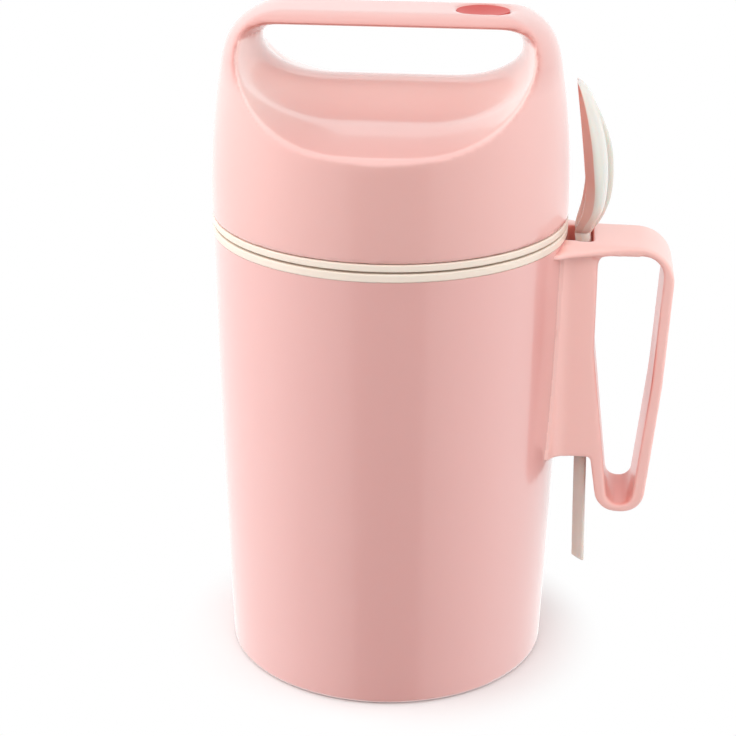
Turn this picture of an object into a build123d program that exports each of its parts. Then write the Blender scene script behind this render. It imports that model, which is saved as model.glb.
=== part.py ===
"""Insulated food jar: a glass vacuum insert in a plastic casing, with a twist-lock lid under a
carry arch, and a side handle whose sleeve holds a spoon.
Millimetres, +Z up. The jar's axis is Z, its rest face is Z = 0, and the handle points along +X."""
import os
from math import cos, pi, radians, sin, sqrt

from build123d import *

os.makedirs("parts", exist_ok=True)

# ---- Clearances ------------------------------------------------------------------------------
fit_gap = 0.3             # between pieces that slide, turn or are pushed together by hand
seat_gap = 0.1            # between pieces that are fixed together

# ---- Casing ----------------------------------------------------------------------------------
casing_height = 148.3
casing_top_radius = 57.7
casing_taper = 4.1        # the foot is smaller than the top by this much
casing_bow = 0.65         # how far the wall stands out from a straight taper, half way up
casing_wall = 2.4
casing_foot_rounding = 1.8
foot_ring_height = 8.0    # inward ring at the foot that the base plate screws into
foot_ring_slope = 4.0     # height of the slope that joins the ring to the wall

# ---- Base plate ------------------------------------------------------------------------------
base_flange_inset = 3.6   # from the casing's foot
base_flange_thickness = 2.2
base_skirt_inset = 2.4    # from the flange's edge
base_skirt_wall = 2.0
base_skirt_height = 7.0
base_seal_thickness = 1.2
base_seal_width = 1.6
base_edge_chamfer = 0.4
finger_recess_count = 3
finger_recess_radius = 7.0
finger_recess_depth = 1.1
finger_recess_inset = 14.6   # middle of each recess, from the skirt's outside
cushion_cup_wall = 2.0
cushion_cup_height = 5.0

# ---- Glass vacuum insert ---------------------------------------------------------------------
mouth_inset = 15.7        # the glass's bore, from the casing's top edge
glass_thickness = 1.8
vacuum_gap = 4.2
insert_rim_drop = 3.3     # glass rim below the casing's top edge
insert_neck_gap = 0.6     # between the two glass walls in the narrowed neck
insert_neck_height = 2.6
insert_shoulder_height = 9.0
insert_foot_rounding = 16.0
seal_tip_radius = 3.2
seal_tip_end_radius = 1.1
seal_tip_length = 5.0
spacer_pad_radius = 4.0
spacer_pad_offset = 20.0  # middle of each pad off the axis
spacer_pad_count = 3

# ---- Tip cushion and centring collar ---------------------------------------------------------
cushion_radius = 20.0
cushion_height = 12.0
cushion_bore_radius = 7.0
cushion_chamfer = 1.0
collar_height = 8.0
collar_drop = 24.0        # top of the collar below the casing's top edge

# ---- Neck ------------------------------------------------------------------------------------
band_proud = 0.2          # the two visible bands stand out from the casing's top edge
band_rounding = 0.5
neck_band_height = 2.7
neck_skirt_length = 10.0
neck_skirt_wall = 2.0
neck_wall_thickness = 1.6
neck_wall_height = 10.6   # above the casing's top edge
bead_width = 1.7
bead_height = 2.2
bead_count = 3
bead_sector = 96.0        # degrees that each locking bead covers
stop_sector = 3.5         # degrees of each stop under a bead
stop_margin = 0.6         # degrees left between a lug and its stop
funnel_lip_height = 11.5  # above the casing's top edge
funnel_lip_width = 2.5
funnel_lip_rounding = 0.8
gasket_thickness = 1.5
gasket_skirt_width = 1.2
gasket_skirt_length = 4.0

# ---- Lid -------------------------------------------------------------------------------------
lid_turn_angle = 70.0     # degrees from set down to locked
joint_gap = 0.7           # dark gap between the two bands
lid_band_height = 2.3
lid_edge_proud = 0.3      # the shell's lower edge stands out from the casing's top edge
lid_waist_inset = 0.6     # radii further up, as steps in from the shell's lower edge
lid_waist_rise = 24.0     # above the shell's lower edge
lid_shoulder_inset = 3.1
lid_shoulder_rise = 45.5
lid_shoulder_slant = 9.0  # degrees off upright
lid_crown_inset = 6.1
lid_crown_rise = 57.5
lid_height = 66.4         # shell's lower edge to the top of the arch
lid_top_inset = 24.0      # where the arch's top turns flat
lid_wall = 2.4
liner_skirt_wall = 1.6
liner_deck_thickness = 2.0
seal_thickness = 2.7
seal_width = 3.6
seal_chamfer = 0.5
lug_sector = 18.0         # degrees that each lug covers
lug_height = 3.2
lug_drop = 0.4            # top of a lug below the beads
plug_clearance = 0.7
plug_depth = 12.6         # below the lip's top
plug_wall = 1.8
plug_foot_rounding = 3.0
foam_height = 16.0

# ---- Carry arch ------------------------------------------------------------------------------
arch_top_half_width = 9.0
arch_half_width = 13.6
arch_edge_drop = 1.2
brow_half_width = 19.0
brow_drop = 5.0
slope_half_width = 27.0
slope_drop = 15.0
skirt_inset = 20.0        # from the shell's lower edge
skirt_drop = 23.6
rim_inset = 8.0
rim_drop = 31.0
roof_margin = 2.0         # the roof's outline runs past the shell by this much
roof_drop = 37.4
window_inset = 12.0       # end of the window, from the shell's lower edge
window_floor_drop = 31.0
window_top_drop = 2.0
window_corner_length = 34.0
window_corner_height = 20.0
window_top_round_length = 9.0
window_top_round_height = 4.0
pocket_reach = 28.0       # the window narrows from here inwards
pocket_flare = 0.12       # and widens by this much a millimetre from here outwards
waist_side = 4.6          # at its middle the window is narrower by this much at each end
waist_floor = 9.3         # its floor is higher by this much
waist_top = 3.3           # and its top is lower by this much
waist_corner_length = 12.0   # its lower corners are shorter by this much
waist_corner_height = 10.0   # and lower by this much
waist_sections = 10
inlay_radius = 8.4
inlay_thickness = 1.6
inlay_inset = 5.4         # middle of the inlay, from where the arch's top turns flat
inlay_sink = 0.5          # rim of the inlay below the arch's top
inlay_dish = 0.7          # depth of the hollow in its face

# ---- Side handle: distances out from, and down from, the casing's top edge ---------------------
handle_half_width = 12.8
handle_out = 35.5
handle_arm_fall = 0.9     # the arm's top drops this much along its length
handle_arm_thickness = 3.7
handle_corner_rounding = 12.0
handle_waist_out = 33.1
handle_waist_down = 48.3
handle_waist_rounding = 150.0
handle_foot_out = 28.7
handle_foot_down = 93.8
handle_foot_length = 15.0
handle_foot_rounding = 7.4
handle_foot_thickness = 3.0
handle_leg_thickness = 3.7
handle_edge_rounding = 1.0
grip_inner_out = 10.3
grip_knee_down = 36.3     # the loop's inner leg is upright above this
grip_arm_rounding = 3.5
grip_corner_rounding = 7.0
grip_foot_rounding = 4.0
sleeve_foot_down = 74.3
sleeve_foot_out = 10.7
sleeve_foot_rounding = 1.5
flare_half_width = 25.4   # where the arm meets the casing
flare_slant = 58.0        # degrees off straight outwards at which the flare leaves the casing
flare_neck_half_width = 16.2
flare_neck_out = 6.3
flare_end_half_width = 13.4
flare_end_out = 16.0
saddle_half_width = 19.5  # the sleeve's walls flare this wide at the casing
saddle_spread = 4.0       # further flare hidden inside the casing's skin
saddle_out = 3.3
saddle_slant = 63.0       # degrees off straight outwards at which each wall leaves the casing
handle_screw_radius = 1.4
handle_screw_head_radius = 2.6
handle_screw_head_height = 1.8
handle_screw_length = 8.5
handle_screw_slot_width = 0.8
handle_screw_slot_length = 3.6
handle_screw_side = 10.4
handle_screw_downs = (56.3, 17.3)

# ---- Spoon: distances out from the casing's top edge, and rises above it -----------------------
spoon_lean = 1.15         # degrees, towards the lid as it rises
spoon_out = 6.0           # the stem's middle line at the casing's top edge
stem_depth = 4.2
stem_width = 13.0
stem_edge_rounding = 1.0
stem_length = 116.0       # below the casing's top edge
stem_cut_rise = 2.4       # the stem's end is cut on a slant
stem_groove_width = 7.0
stem_groove_depth = 2.0
stem_groove_end = 9.0
neck_root_drop = 8.0      # the stem deepens into the neck from here
neck_foot_rise = 0.4      # and the neck widens into the bowl from here
neck_foot_out = 5.3
neck_foot_depth = 5.8
neck_top_rise = 10.0
neck_top_out = 7.8
neck_top_depth = 7.4
neck_top_width = 23.0
neck_top_rounding = 3.0
bowl_rise = 1.0           # lowest point of the bowl above the casing's top edge
bowl_height = 50.0
bowl_half_width = 17.0
bowl_depth = 9.5          # middle plane of the bowl to its back
bowl_out = 2.3
bowl_tilt = 8.0           # degrees, tip towards the lid
bowl_wall = 1.8
spine_width = 3.0
spine_crest = ((7.9, 0.6), (13.5, 12.5), (14.0, 21.0), (12.7, 30.5), (8.1, 41.5), (1.8, 48.6))
rim_root_out = 2.5
rim_bow_out = 5.2
rim_bow_rise = 15.0
rim_waist_out = 3.9
rim_waist_rise = 28.0
rim_tip_out = 0.8
rim_tip_rise = 54.4
rim_root_slant = 18.0     # degrees off upright, away from the lid
rim_tip_slant = 6.0       # degrees off upright, towards the lid
slot_half_length = 8.2
slot_depth = 8.4
slot_rounding = 2.0

# ---- Levels and radii that follow ------------------------------------------------------------
casing_foot_radius = casing_top_radius - casing_taper
base_flange_radius = casing_foot_radius - base_flange_inset
base_skirt_radius = base_flange_radius - base_skirt_inset
finger_recess_offset = base_skirt_radius - finger_recess_inset
mouth_radius = casing_top_radius - mouth_inset
band_radius = casing_top_radius + band_proud
lid_edge_radius = casing_top_radius + lid_edge_proud
lid_waist_radius = lid_edge_radius - lid_waist_inset
lid_shoulder_radius = lid_edge_radius - lid_shoulder_inset
lid_crown_radius = lid_edge_radius - lid_crown_inset
lid_top_radius = lid_edge_radius - lid_top_inset
skirt_half_width = lid_edge_radius - skirt_inset
rim_half_width = lid_edge_radius - rim_inset
roof_half_width = lid_edge_radius + roof_margin
window_half_length = lid_edge_radius - window_inset
inlay_offset = lid_top_radius - inlay_inset
handle_reach = casing_top_radius + handle_out
handle_waist_reach = casing_top_radius + handle_waist_out
handle_foot_reach = casing_top_radius + handle_foot_out
grip_inner_reach = casing_top_radius + grip_inner_out
handle_waist_z = casing_height - handle_waist_down
handle_foot_z = casing_height - handle_foot_down
grip_knee_z = casing_height - grip_knee_down
sleeve_foot_z = casing_height - sleeve_foot_down

neck_top_z = casing_height + neck_band_height
neck_wall_top_z = casing_height + neck_wall_height
bead_foot_z = neck_wall_top_z - bead_height
lip_top_z = casing_height + funnel_lip_height
lid_band_z = neck_top_z + joint_gap
lid_edge_z = lid_band_z + lid_band_height
lid_top_z = lid_edge_z + lid_height
seal_foot_z = lip_top_z + fit_gap
deck_foot_z = seal_foot_z + seal_thickness + seat_gap
deck_top_z = deck_foot_z + liner_deck_thickness
glass_rim_z = casing_height - insert_rim_drop
gasket_top_z = glass_rim_z + gasket_thickness
cushion_foot_z = base_flange_thickness
glass_foot_z = cushion_foot_z + cushion_height + seat_gap
inner_foot_z = glass_foot_z + glass_thickness + vacuum_gap

tube_outer_radius = mouth_radius + glass_thickness
jacket_inner_radius = tube_outer_radius + vacuum_gap
jacket_outer_radius = jacket_inner_radius + glass_thickness
neck_glass_radius = tube_outer_radius + insert_neck_gap
rim_outer_radius = neck_glass_radius + glass_thickness
gasket_inner_radius = mouth_radius + fit_gap
gasket_outer_radius = rim_outer_radius + seat_gap + gasket_skirt_width

lid_cavity_radius = lid_waist_radius - lid_wall
pocket_edge_drop = window_floor_drop + pocket_flare * (lid_cavity_radius - pocket_reach)
lid_cavity_top_z = lid_top_z - pocket_edge_drop - lid_wall
liner_outer_radius = lid_cavity_radius - fit_gap
liner_inner_radius = liner_outer_radius - liner_skirt_wall
neck_wall_radius = liner_inner_radius - fit_gap - bead_width
funnel_outer_radius = neck_wall_radius - neck_wall_thickness - seat_gap
lip_inner_radius = funnel_outer_radius - funnel_lip_width
neck_skirt_radius = casing_top_radius - casing_wall - fit_gap
plug_radius = lip_inner_radius - plug_clearance
seal_inner_radius = plug_radius + fit_gap
funnel_slope = (lip_inner_radius - gasket_inner_radius) / (lip_top_z - gasket_top_z)
plug_foot_z = lip_top_z - plug_depth
plug_foot_radius = plug_radius - funnel_slope * plug_depth
foot_ring_radius = base_skirt_radius + fit_gap
foot_recess_radius = base_flange_radius + fit_gap
foot_recess_depth = base_flange_thickness + base_seal_thickness
gap_sector = 360.0 / bead_count - bead_sector


def casing_radius(z):
    """Outer radius of the casing's gently bowed wall at a height."""
    share = z / casing_height
    taper = casing_foot_radius + (casing_top_radius - casing_foot_radius) * share
    return taper + 4 * casing_bow * share * (1 - share)


def wall_points(z_from, z_to, offset=0.0):
    """Three points (radius, Z) of the casing's wall, moved outwards by offset."""
    return [(casing_radius(z) + offset, z) for z in (z_from, (z_from + z_to) / 2, z_to)]


# ---- Outer casing ----------------------------------------------------------------------------
with BuildPart() as outer_casing:
    with BuildSketch(Plane.XZ):
        with BuildLine():
            outside = wall_points(casing_foot_rounding, casing_height)
            inside = wall_points(foot_ring_height + foot_ring_slope, casing_height, -casing_wall)
            ThreePointArc(*outside)
            ThreePointArc(*inside)
            Line(outside[2], inside[2])
            Polyline(
                inside[0],
                (foot_ring_radius, foot_ring_height),
                (foot_ring_radius, foot_recess_depth),
                (foot_recess_radius, foot_recess_depth),
                (foot_recess_radius, 0),
                (outside[0][0] - casing_foot_rounding, 0),
            )
            RadiusArc((outside[0][0] - casing_foot_rounding, 0), outside[0], -casing_foot_rounding)
        make_face()
    revolve(axis=Axis.Z)
    for down in handle_screw_downs:
        with Locations(*[Plane(origin=(0, side * handle_screw_side, casing_height - down), z_dir=(1, 0, 0))
                         for side in (-1, 1)]):
            Cylinder(
                handle_screw_radius + seat_gap, casing_top_radius,
                align=(Align.CENTER, Align.CENTER, Align.MIN), mode=Mode.SUBTRACT,
            )

# ---- Base plate, screwed into the casing's foot ------------------------------------------------
with BuildPart() as base_plate:
    Cylinder(base_flange_radius, base_flange_thickness, align=(Align.CENTER, Align.CENTER, Align.MIN))
    chamfer(edges().group_by(Axis.Z)[0], base_edge_chamfer)
    with BuildSketch(Plane.XY.offset(base_flange_thickness)):
        Circle(base_skirt_radius)
        Circle(base_skirt_radius - base_skirt_wall, mode=Mode.SUBTRACT)
    extrude(amount=base_skirt_height)
    with BuildSketch(Plane.XY.offset(base_flange_thickness)):
        Circle(cushion_radius + fit_gap + cushion_cup_wall)
        Circle(cushion_radius + fit_gap, mode=Mode.SUBTRACT)
    extrude(amount=cushion_cup_height)
    with BuildSketch():
        with PolarLocations(finger_recess_offset, finger_recess_count):
            Circle(finger_recess_radius)
    extrude(amount=finger_recess_depth, mode=Mode.SUBTRACT)

# ---- Base seal, between the base plate's flange and the casing's foot ring ---------------------
with BuildPart() as base_seal:
    with BuildSketch(Plane.XY.offset(base_flange_thickness)):
        Circle(base_flange_radius - seat_gap)
        Circle(base_flange_radius - seat_gap - base_seal_width, mode=Mode.SUBTRACT)
    extrude(amount=base_seal_thickness)

# ---- Tip cushion, the rubber block that carries the glass --------------------------------------
with BuildPart() as tip_cushion:
    with BuildSketch(Plane.XY.offset(cushion_foot_z)):
        Circle(cushion_radius)
        Circle(cushion_bore_radius, mode=Mode.SUBTRACT)
    extrude(amount=cushion_height)
    chamfer(edges().group_by(Axis.Z)[-1], cushion_chamfer)

# ---- Glass insert: inner wall with the rolled rim ----------------------------------------------
with BuildPart() as insert_inner:
    with BuildSketch(Plane.XZ):
        with BuildLine():
            outer_round = insert_foot_rounding
            inner_round = insert_foot_rounding - glass_thickness
            Line((0, inner_foot_z), (tube_outer_radius - outer_round, inner_foot_z))
            TangentArc(
                (tube_outer_radius - outer_round, inner_foot_z),
                (tube_outer_radius, inner_foot_z + outer_round), tangent=(1, 0),
            )
            Polyline(
                (tube_outer_radius, inner_foot_z + outer_round),
                (tube_outer_radius, glass_rim_z - glass_thickness),
                (rim_outer_radius, glass_rim_z - glass_thickness),
                (rim_outer_radius, glass_rim_z),
                (mouth_radius, glass_rim_z),
                (mouth_radius, inner_foot_z + outer_round),
            )
            TangentArc(
                (mouth_radius, inner_foot_z + outer_round),
                (mouth_radius - inner_round, inner_foot_z + glass_thickness), tangent=(0, -1),
            )
            Polyline(
                (mouth_radius - inner_round, inner_foot_z + glass_thickness),
                (0, inner_foot_z + glass_thickness),
                (0, inner_foot_z),
            )
        make_face()
    revolve(axis=Axis.Z)

# ---- Glass insert: outer wall with the sealed-off tip ------------------------------------------
with BuildPart() as insert_outer:
    with BuildSketch(Plane.XZ):
        with BuildLine():
            outer_round = insert_foot_rounding + vacuum_gap
            inner_round = outer_round - glass_thickness
            round_top_z = glass_foot_z + outer_round
            shoulder_z = glass_rim_z - insert_shoulder_height
            neck_foot_z = glass_rim_z - glass_thickness - insert_neck_height
            Line((0, glass_foot_z), (jacket_outer_radius - outer_round, glass_foot_z))
            TangentArc(
                (jacket_outer_radius - outer_round, glass_foot_z),
                (jacket_outer_radius, round_top_z), tangent=(1, 0),
            )
            Polyline(
                (jacket_outer_radius, round_top_z),
                (jacket_outer_radius, shoulder_z),
                (rim_outer_radius, neck_foot_z),
                (rim_outer_radius, glass_rim_z - glass_thickness),
                (neck_glass_radius, glass_rim_z - glass_thickness),
                (neck_glass_radius, neck_foot_z),
                (jacket_inner_radius, shoulder_z),
                (jacket_inner_radius, round_top_z),
            )
            TangentArc(
                (jacket_inner_radius, round_top_z),
                (jacket_inner_radius - inner_round, glass_foot_z + glass_thickness), tangent=(0, -1),
            )
            Polyline(
                (jacket_inner_radius - inner_round, glass_foot_z + glass_thickness),
                (0, glass_foot_z + glass_thickness),
                (0, glass_foot_z),
            )
        make_face()
    revolve(axis=Axis.Z)
    with Locations((0, 0, glass_foot_z + glass_thickness / 2)):
        Cone(
            seal_tip_end_radius, seal_tip_radius, seal_tip_length + glass_thickness / 2,
            align=(Align.CENTER, Align.CENTER, Align.MAX),
        )

# ---- Spacer pads, between the two glass walls at the foot --------------------------------------
with BuildPart() as insert_pads:
    with BuildSketch(Plane.XY.offset(glass_foot_z + glass_thickness)):
        with PolarLocations(spacer_pad_offset, spacer_pad_count):
            Circle(spacer_pad_radius)
    extrude(amount=vacuum_gap)

# ---- Centring collar, foam between the glass and the casing ------------------------------------
with BuildPart() as insert_collar:
    collar_foot_z = casing_height - collar_drop - collar_height
    with BuildSketch(Plane.XY.offset(collar_foot_z)):
        Circle(casing_radius(collar_foot_z) - casing_wall - seat_gap)
        Circle(jacket_outer_radius + seat_gap, mode=Mode.SUBTRACT)
    extrude(amount=collar_height)

# ---- Mouth gasket, over the glass rim ----------------------------------------------------------
with BuildPart() as mouth_gasket:
    with BuildSketch(Plane.XZ):
        with BuildLine():
            Polyline(
                (gasket_inner_radius, glass_rim_z),
                (rim_outer_radius + seat_gap, glass_rim_z),
                (rim_outer_radius + seat_gap, glass_rim_z - gasket_skirt_length),
                (gasket_outer_radius, glass_rim_z - gasket_skirt_length),
                (gasket_outer_radius, gasket_top_z),
                (gasket_inner_radius, gasket_top_z),
                close=True,
            )
        make_face()
    revolve(axis=Axis.Z)


def sector_plane(degrees_from_x):
    """Upright plane through the jar's axis, for a profile that is turned from there."""
    turn = radians(degrees_from_x)
    return Plane(origin=(0, 0, 0), x_dir=(cos(turn), sin(turn), 0), z_dir=(sin(turn), -cos(turn), 0))


# ---- Neck ring: lower band, locking beads and stops --------------------------------------------
with BuildPart() as neck_ring:
    shelf_z = gasket_top_z
    with BuildSketch(Plane.XZ):
        with BuildLine():
            Polyline(
                (band_radius, casing_height),
                (band_radius, neck_top_z),
                (neck_wall_radius, neck_top_z),
                (neck_wall_radius, neck_wall_top_z),
                (neck_wall_radius - neck_wall_thickness, neck_wall_top_z),
                (neck_wall_radius - neck_wall_thickness, shelf_z),
                (gasket_outer_radius + seat_gap, shelf_z),
                (gasket_outer_radius + seat_gap, shelf_z - neck_skirt_wall),
                (neck_skirt_radius - neck_skirt_wall, shelf_z - neck_skirt_wall),
                (neck_skirt_radius - neck_skirt_wall, casing_height - neck_skirt_length),
                (neck_skirt_radius, casing_height - neck_skirt_length),
                (neck_skirt_radius, casing_height),
                close=True,
            )
        make_face()
        band_corners = vertices().group_by(Axis.X)[-1]
        fillet(band_corners, band_rounding)
    revolve(axis=Axis.Z)
    bead_root = neck_wall_radius - neck_wall_thickness / 2
    for k in range(bead_count):
        gap_middle = k * 360 / bead_count
        bead_start = gap_middle - gap_sector / 2 - bead_sector
        with BuildSketch(sector_plane(bead_start)):
            with Locations((bead_root, bead_foot_z)):
                Rectangle(
                    neck_wall_radius + bead_width - bead_root, bead_height,
                    align=(Align.MIN, Align.MIN),
                )
        revolve(axis=Axis.Z, revolution_arc=bead_sector)
        open_stop = gap_middle + lug_sector / 2 + stop_margin
        locked_stop = gap_middle - lid_turn_angle - lug_sector / 2 - stop_margin - stop_sector
        for stop_start in (open_stop, locked_stop):
            with BuildSketch(sector_plane(stop_start)):
                with Locations((bead_root, neck_top_z - neck_band_height / 2)):
                    Rectangle(
                        neck_wall_radius + bead_width - bead_root,
                        bead_foot_z - neck_top_z + neck_band_height,
                        align=(Align.MIN, Align.MIN),
                    )
            revolve(axis=Axis.Z, revolution_arc=stop_sector)

# ---- Mouth funnel: white lip and the cone that leads into the glass ----------------------------
with BuildPart() as mouth_funnel:
    with BuildSketch(Plane.XZ):
        with BuildLine():
            Polyline(
                (gasket_inner_radius, gasket_top_z),
                (funnel_outer_radius, gasket_top_z),
                (funnel_outer_radius, lip_top_z),
                (lip_inner_radius, lip_top_z),
                close=True,
            )
        make_face()
        fillet(vertices().group_by(Axis.Y)[-1], funnel_lip_rounding)
    revolve(axis=Axis.Z)

# ---- Lid seal, the silicone ring between lip and lid -------------------------------------------
with BuildPart() as lid_seal:
    with BuildSketch(Plane.XY.offset(seal_foot_z)):
        Circle(seal_inner_radius + seal_width)
        Circle(seal_inner_radius, mode=Mode.SUBTRACT)
    extrude(amount=seal_thickness)
    chamfer(edges().group_by(Axis.Z)[0], seal_chamfer)

# ---- Lid liner: upper band, skirt with lugs, and deck ------------------------------------------
with BuildPart() as lid_liner:
    with BuildSketch(Plane.XZ):
        with BuildLine():
            Polyline(
                (liner_inner_radius, lid_band_z),
                (band_radius, lid_band_z),
                (band_radius, lid_edge_z),
                (liner_outer_radius, lid_edge_z),
                (liner_outer_radius, deck_top_z),
                (0, deck_top_z),
                (0, deck_foot_z),
                (liner_inner_radius, deck_foot_z),
                close=True,
            )
        make_face()
        fillet(vertices().group_by(Axis.X)[-1], band_rounding)
    revolve(axis=Axis.Z)
    for k in range(bead_count):
        lug_start = k * 360 / bead_count - lug_sector / 2
        with BuildSketch(sector_plane(lug_start)):
            with Locations((neck_wall_radius + fit_gap, bead_foot_z - lug_drop)):
                Rectangle(
                    liner_inner_radius + liner_skirt_wall / 2 - neck_wall_radius - fit_gap, lug_height,
                    align=(Align.MIN, Align.MAX),
                )
        revolve(axis=Axis.Z, revolution_arc=lug_sector)

# ---- Lid plug: insulated cup under the deck ----------------------------------------------------
with BuildPart() as lid_plug:
    with BuildSketch(Plane.XZ):
        with BuildLine():
            Polyline(
                (0, plug_foot_z),
                (plug_foot_radius, plug_foot_z),
                (plug_radius, lip_top_z),
                (plug_radius, deck_foot_z),
                (plug_radius - plug_wall, deck_foot_z),
                (plug_radius - plug_wall, lip_top_z),
                (plug_foot_radius - plug_wall, plug_foot_z + plug_wall),
                (0, plug_foot_z + plug_wall),
                close=True,
            )
        make_face()
        fillet(vertices().group_by(Axis.Y)[0].sort_by(Axis.X)[-1], plug_foot_rounding)
    revolve(axis=Axis.Z)

# ---- Plug foam, inside the cup -----------------------------------------------------------------
with BuildPart() as plug_foam:
    with BuildSketch(Plane.XY.offset(plug_foot_z + plug_wall)):
        Circle(plug_foot_radius - plug_wall - fit_gap)
    extrude(amount=deck_foot_z - plug_foot_z - plug_wall - fit_gap)

# ---- Lid foam, on the deck inside the shell ----------------------------------------------------
with BuildPart() as lid_foam:
    with BuildSketch(Plane.XY.offset(deck_top_z)):
        Circle(lid_cavity_radius - fit_gap)
    extrude(amount=foam_height)


def window_outline(y):
    """Outline of the arch's window at a distance from its middle plane: narrow in the middle."""
    share = (1 + cos(pi * min(abs(y) / pocket_reach, 1))) / 2
    flare = pocket_flare * max(abs(y) - pocket_reach, 0)
    half_length = window_half_length - waist_side * share + flare
    floor_z = lid_top_z - window_floor_drop + waist_floor * share - flare
    top_z = lid_top_z - window_top_drop - waist_top * share
    corner_length = window_corner_length - waist_corner_length * share
    corner_height = window_corner_height - waist_corner_height * share
    quarter = 90.0
    corner_x = half_length - corner_length
    corner_z = floor_z + corner_height
    round_x = half_length - window_top_round_length
    round_z = top_z - window_top_round_height
    Line((-corner_x, floor_z), (corner_x, floor_z))
    EllipticalCenterArc(
        (corner_x, corner_z), corner_length, corner_height,
        start_angle=-quarter, arc_size=quarter,
    )
    Line((half_length, corner_z), (half_length, round_z))
    EllipticalCenterArc(
        (round_x, round_z), window_top_round_length, window_top_round_height,
        start_angle=0, arc_size=quarter,
    )
    Line((round_x, top_z), (-round_x, top_z))
    EllipticalCenterArc(
        (-round_x, round_z), window_top_round_length, window_top_round_height,
        start_angle=quarter, arc_size=quarter,
    )
    Line((-half_length, round_z), (-half_length, corner_z))
    EllipticalCenterArc(
        (-corner_x, corner_z), corner_length, corner_height,
        start_angle=2 * quarter, arc_size=quarter,
    )


# ---- Lid shell with the carry arch -------------------------------------------------------------
with BuildPart() as lid_shell:
    with BuildSketch(Plane.XZ):
        with BuildLine():
            ThreePointArc(
                (lid_edge_radius, lid_edge_z),
                (lid_waist_radius, lid_edge_z + lid_waist_rise),
                (lid_shoulder_radius, lid_edge_z + lid_shoulder_rise),
            )
            Spline(
                (lid_shoulder_radius, lid_edge_z + lid_shoulder_rise),
                (lid_crown_radius, lid_edge_z + lid_crown_rise),
                (lid_top_radius, lid_top_z),
                tangents=[(-sin(radians(lid_shoulder_slant)), cos(radians(lid_shoulder_slant))), (-1, 0)],
            )
            Polyline(
                (lid_top_radius, lid_top_z), (0, lid_top_z), (0, lid_edge_z),
                (lid_edge_radius, lid_edge_z),
            )
        make_face()
    revolve(axis=Axis.Z)
    with BuildSketch(Plane.YZ):
        with BuildLine():
            for side in (-1, 1):
                Spline(
                    (side * roof_half_width, lid_top_z - roof_drop),
                    (side * rim_half_width, lid_top_z - rim_drop),
                    (side * skirt_half_width, lid_top_z - skirt_drop),
                    (side * slope_half_width, lid_top_z - slope_drop),
                    (side * brow_half_width, lid_top_z - brow_drop),
                    (side * arch_half_width, lid_top_z - arch_edge_drop),
                    (side * arch_top_half_width, lid_top_z),
                )
                Line((side * roof_half_width, lid_top_z - roof_drop), (side * roof_half_width, lid_edge_z))
            Line((-arch_top_half_width, lid_top_z), (arch_top_half_width, lid_top_z))
            Line((-roof_half_width, lid_edge_z), (roof_half_width, lid_edge_z))
        make_face()
    extrude(amount=roof_half_width, both=True, mode=Mode.INTERSECT)
    for k in range(waist_sections + 1):
        y = pocket_reach * (2 * k / waist_sections - 1)
        with BuildSketch(Plane.XZ.offset(-y)):
            with BuildLine():
                window_outline(y)
            make_face()
    loft(mode=Mode.SUBTRACT)
    for side in (-1, 1):
        for y in (pocket_reach, roof_half_width):
            with BuildSketch(Plane.XZ.offset(side * y)):
                with BuildLine():
                    window_outline(y)
                make_face()
        loft(ruled=True, mode=Mode.SUBTRACT)
    with BuildSketch(Plane.XY.offset(lid_edge_z)):
        Circle(lid_cavity_radius)
    extrude(amount=lid_cavity_top_z - lid_edge_z, mode=Mode.SUBTRACT)
    with BuildSketch(Plane.XY.offset(lid_top_z)):
        with Locations((inlay_offset, 0)):
            Circle(inlay_radius + seat_gap)
    extrude(amount=-inlay_sink - inlay_thickness, mode=Mode.SUBTRACT)

# ---- Handle inlay: dished disc let into the arch's top -----------------------------------------
with BuildPart() as handle_inlay:
    inlay_top_z = lid_top_z - inlay_sink
    dish_radius = (inlay_radius**2 + inlay_dish**2) / (2 * inlay_dish)
    with Locations((inlay_offset, 0, inlay_top_z)):
        Cylinder(inlay_radius, inlay_thickness, align=(Align.CENTER, Align.CENTER, Align.MAX))
    with Locations((inlay_offset, 0, inlay_top_z - inlay_dish + dish_radius)):
        Sphere(dish_radius, mode=Mode.SUBTRACT)

# ---- Side handle: loop, arm with its flare, and spoon sleeve -----------------------------------
lean = radians(spoon_lean)
lean_out = Vector(cos(lean), 0, sin(lean))
spoon_up = Vector(-sin(lean), 0, cos(lean))
spoon_root = Vector(casing_top_radius + spoon_out, 0, casing_height)
arm_end_z = casing_height - handle_arm_fall
arm_foot_z = casing_height - handle_arm_thickness
casing_inside = casing_foot_radius - casing_wall
far_side = Plane(origin=(0, 0, 0), x_dir=(-1, 0, 0), z_dir=(0, 1, 0))  # XZ, turned to face -X


def screw_places(height):
    """Two places at a height where a screw's head seats against the casing's inside, facing out."""
    head_side = handle_screw_side + handle_screw_head_radius
    wall_inside = casing_radius(height - handle_screw_head_radius) - casing_wall
    seat_x = sqrt(wall_inside**2 - head_side**2) - seat_gap
    return [Plane(origin=(seat_x, side * handle_screw_side, height), z_dir=(1, 0, 0)) for side in (-1, 1)]


def grip_outline():
    """Outline of the grip's window, between the loop's two legs."""
    inner_foot = handle_foot_reach - handle_leg_thickness
    FilletPolyline(
        (grip_inner_reach, arm_foot_z),
        (handle_reach - handle_leg_thickness, arm_foot_z),
        (handle_waist_reach - handle_leg_thickness, handle_waist_z),
        (inner_foot, handle_foot_z + handle_foot_thickness),
        (inner_foot - 2 * grip_foot_rounding, handle_foot_z + handle_foot_thickness),
        (grip_inner_reach, grip_knee_z),
        radius=[
            grip_arm_rounding, grip_corner_rounding, handle_waist_rounding, grip_foot_rounding,
            grip_foot_rounding, handle_corner_rounding,
        ],
        close=True,
    )


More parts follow.
